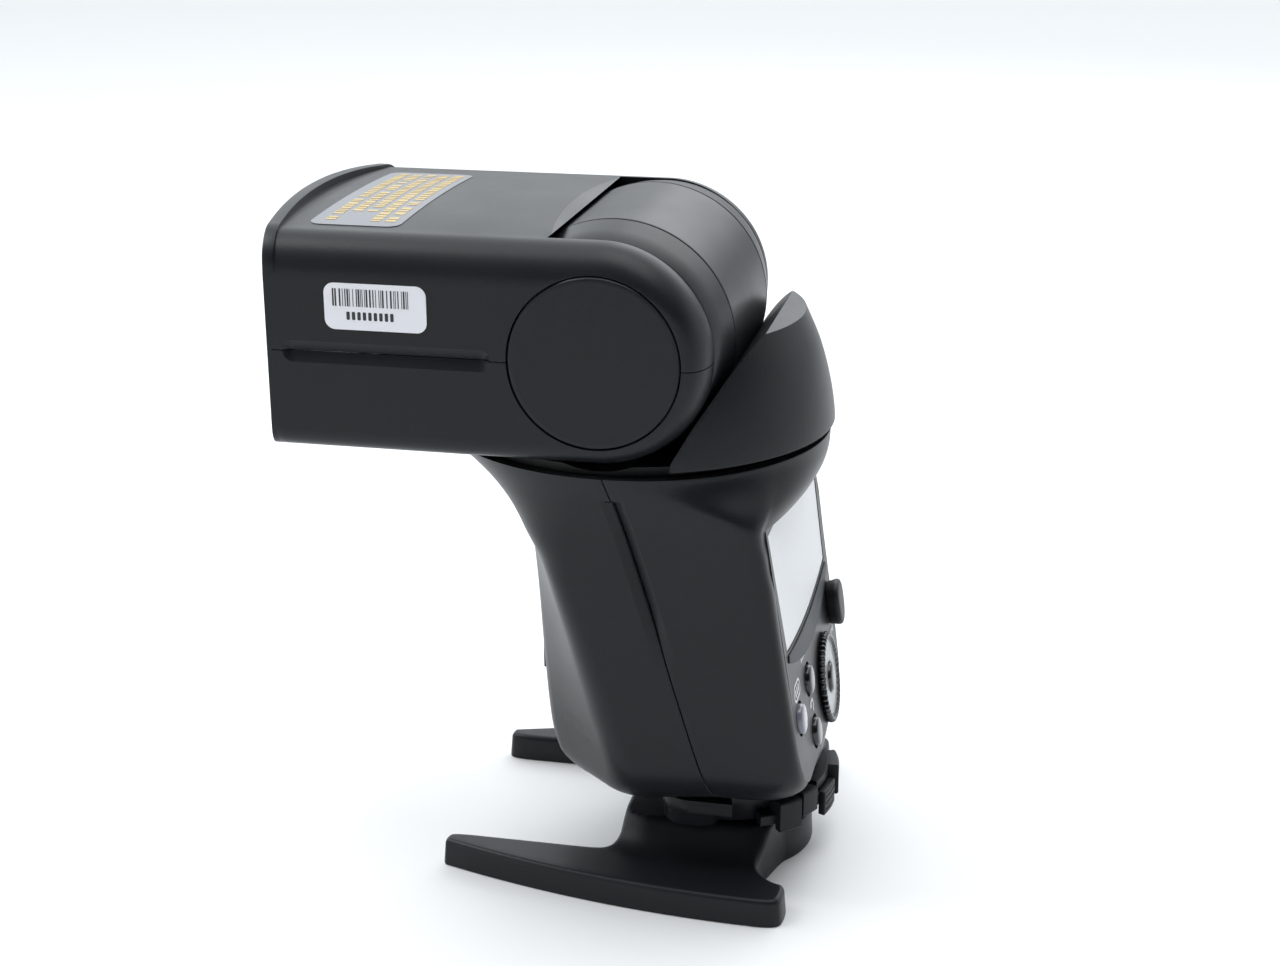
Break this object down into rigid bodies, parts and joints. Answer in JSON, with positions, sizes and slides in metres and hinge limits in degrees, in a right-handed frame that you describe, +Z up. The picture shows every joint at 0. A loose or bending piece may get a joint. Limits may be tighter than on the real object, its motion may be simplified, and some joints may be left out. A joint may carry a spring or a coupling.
{
  "type": "speedlight flash",
  "caption": "Camera-mounted flash with a tilting and swivelling head, sloped display panel with round buttons and dial, and a slide-on foot, standing on a flat two-legged mini stand.",
  "frame": {"origin": "centre of the tripod socket on the underside of the mini stand", "axes": "+Z up, -Y the way the lamp shines at rest, +Y the way the display faces, +X the left-hand side for someone standing behind the flash and facing its display"},
  "size_m": [0.0746, 0.1049, 0.131],
  "materials": {
    "charcoal_plastic": "fine satin texture",
    "dark_plastic": "matt",
    "button_plastic": "soft gloss",
    "smoked_button": "translucent grey",
    "red_window": "dark red, glossy",
    "display_glass": "pale silver display behind a clear window",
    "steel": "brushed",
    "brass": "plain",
    "circuit_board": "solder mask",
    "cell_wrap": "plain sleeve",
    "white_nylon": "moulded",
    "clear_panel": "ribbed clear plastic",
    "tube_glass": "clear",
    "reflector_foil": "bright",
    "white_card": "matt white",
    "silver_label": "metallic grey film",
    "paper_label": "paper"
  },
  "bodies": {
    "stand": {"stand_base": "charcoal_plastic", "tripod_bush": "brass"},
    "flash_body": {"foot_plate": "steel", "contact_block": "dark_plastic", "foot_contacts": "brass", "foot_collar": "charcoal_plastic", "foot_screws": "steel", "base_plate": "dark_plastic", "front_shell": "charcoal_plastic", "rear_shell": "charcoal_plastic", "rear_panel": "charcoal_plastic", "lcd_window": "display_glass", "lcd_module": "dark_plastic", "af_assist_window": "red_window", "door_hinge_pin": "steel", "batteries": "cell_wrap", "battery_contacts": "steel", "battery_tray": "dark_plastic", "main_board": "circuit_board", "main_capacitor": "dark_plastic", "bearing_plate": "dark_plastic", "pan_motor": "steel"},
    "lock_pin": {"lock_pin": "steel"},
    "lock_lever": {"lock_lever": "charcoal_plastic"},
    "release_button": {"lock_release_button": "button_plastic"},
    "sub_menu_button": {"sub_menu_button": "button_plastic"},
    "bounce_button": {"bounce_button": "smoked_button"},
    "back_button": {"back_button": "button_plastic"},
    "set_button": {"set_button": "button_plastic"},
    "select_dial": {"select_dial": "dark_plastic"},
    "power_lever": {"power_lever": "button_plastic"},
    "battery_door": {"battery_door": "charcoal_plastic"},
    "pan_pinion": {"pan_pinion": "white_nylon"},
    "swivel": {"pan_gear": "white_nylon", "swivel_base": "dark_plastic", "neck_bracket": "steel", "neck_drum": "charcoal_plastic", "drum_collars": "charcoal_plastic", "rear_shroud": "charcoal_plastic", "hinge_axle": "steel", "tilt_motor": "steel"},
    "head": {"head_top_shell": "charcoal_plastic", "head_bottom_shell": "charcoal_plastic", "head_bezel": "charcoal_plastic", "fresnel_lens": "clear_panel", "hinge_cap_left": "charcoal_plastic", "hinge_cap_right": "charcoal_plastic", "panel_tray": "dark_plastic", "zoom_frame": "steel", "zoom_rods": "steel", "zoom_motor": "steel", "head_board": "circuit_board", "top_label": "silver_label", "side_sticker": "paper_label"},
    "wide_panel": {"wide_panel": "clear_panel"},
    "catchlight_panel": {"catchlight_panel": "white_card"},
    "zoom_unit": {"zoom_carriage": "dark_plastic", "reflector": "reflector_foil", "flash_tube": "tube_glass"},
    "lead_screw": {"zoom_lead_screw": "steel"}
  },
  "joints": [
    {"name": "flash_slide_off", "type": "slide", "parent": "stand", "child": "flash_body", "axis": [0, 1, 0], "range_m": [0, 0.032]},
    {"name": "lock_lever_turn", "type": "hinge", "parent": "flash_body", "child": "lock_lever", "pos_m": [0, 0, 0.012], "axis": [0, 0, 1], "range_deg": [-20, 0]},
    {"name": "lock_pin_drop", "type": "slide", "parent": "flash_body", "child": "lock_pin", "axis": [0, 0, -1], "range_m": [0, 0.0016]},
    {"name": "release_press", "type": "slide", "parent": "lock_lever", "child": "release_button", "axis": [-0.1564, -0.9877, 0], "range_m": [0, 0.0009], "stiffness_N_per_m": 300},
    {"name": "sub_menu_press", "type": "slide", "parent": "flash_body", "child": "sub_menu_button", "axis": [0, -0.9888, -0.1495], "range_m": [0, 0.0008], "stiffness_N_per_m": 250},
    {"name": "bounce_press", "type": "slide", "parent": "flash_body", "child": "bounce_button", "axis": [0, -0.9888, -0.1495], "range_m": [0, 0.0008], "stiffness_N_per_m": 250},
    {"name": "back_press", "type": "slide", "parent": "flash_body", "child": "back_button", "axis": [0, -0.9888, -0.1495], "range_m": [0, 0.0008], "stiffness_N_per_m": 250},
    {"name": "set_press", "type": "slide", "parent": "flash_body", "child": "set_button", "axis": [0, -0.9888, -0.1495], "range_m": [0, 0.0008], "stiffness_N_per_m": 250},
    {"name": "select_dial_turn", "type": "hinge", "parent": "flash_body", "child": "select_dial", "pos_m": [-0.01, 0.01819, 0.03141], "axis": [0, 0.9888, 0.1495], "continuous": true},
    {"name": "power_lever_turn", "type": "hinge", "parent": "flash_body", "child": "power_lever", "pos_m": [-0.0225, 0.01668, 0.04139], "axis": [0, 0.9888, 0.1495], "range_deg": [-20, 20]},
    {"name": "battery_door_swing", "type": "hinge", "parent": "flash_body", "child": "battery_door", "pos_m": [-0.0311, 0.00558, 0.05474], "axis": [0.0671, 0.273, -0.9597], "range_deg": [0, 90]},
    {"name": "pan", "type": "hinge", "parent": "flash_body", "child": "swivel", "pos_m": [0, -0.0185, 0.0875], "axis": [0, 0, 1], "range_deg": [-180, 180]},
    {"name": "pan_pinion_turn", "type": "hinge", "parent": "flash_body", "child": "pan_pinion", "pos_m": [0.024, -0.0185, 0.081], "axis": [0, 0, 1], "range_deg": [-541, 541]},
    {"name": "tilt", "type": "hinge", "parent": "swivel", "child": "head", "pos_m": [0, -0.0185, 0.108], "axis": [-1, 0, 0], "range_deg": [0, 120]},
    {"name": "wide_panel_slide", "type": "slide", "parent": "head", "child": "wide_panel", "axis": [0, -1, 0], "range_m": [0, 0.034]},
    {"name": "catchlight_slide", "type": "slide", "parent": "head", "child": "catchlight_panel", "axis": [0, -1, 0], "range_m": [0, 0.034]},
    {"name": "zoom_slide", "type": "slide", "parent": "head", "child": "zoom_unit", "axis": [0, 1, 0], "range_m": [0, 0.01]},
    {"name": "lead_screw_turn", "type": "hinge", "parent": "head", "child": "lead_screw", "pos_m": [0, -0.0585, 0.0936], "axis": [0, 1, 0], "range_deg": [-1, 1801]}
  ],
  "couplings": [
    {"joint": "lock_pin_drop", "follows": "lock_lever_turn", "m_per_rad": -0.0045837},
    {"joint": "pan_pinion_turn", "follows": "pan", "ratio": -3},
    {"joint": "lead_screw_turn", "follows": "zoom_slide", "rad_per_m": 3141.6}
  ]
}
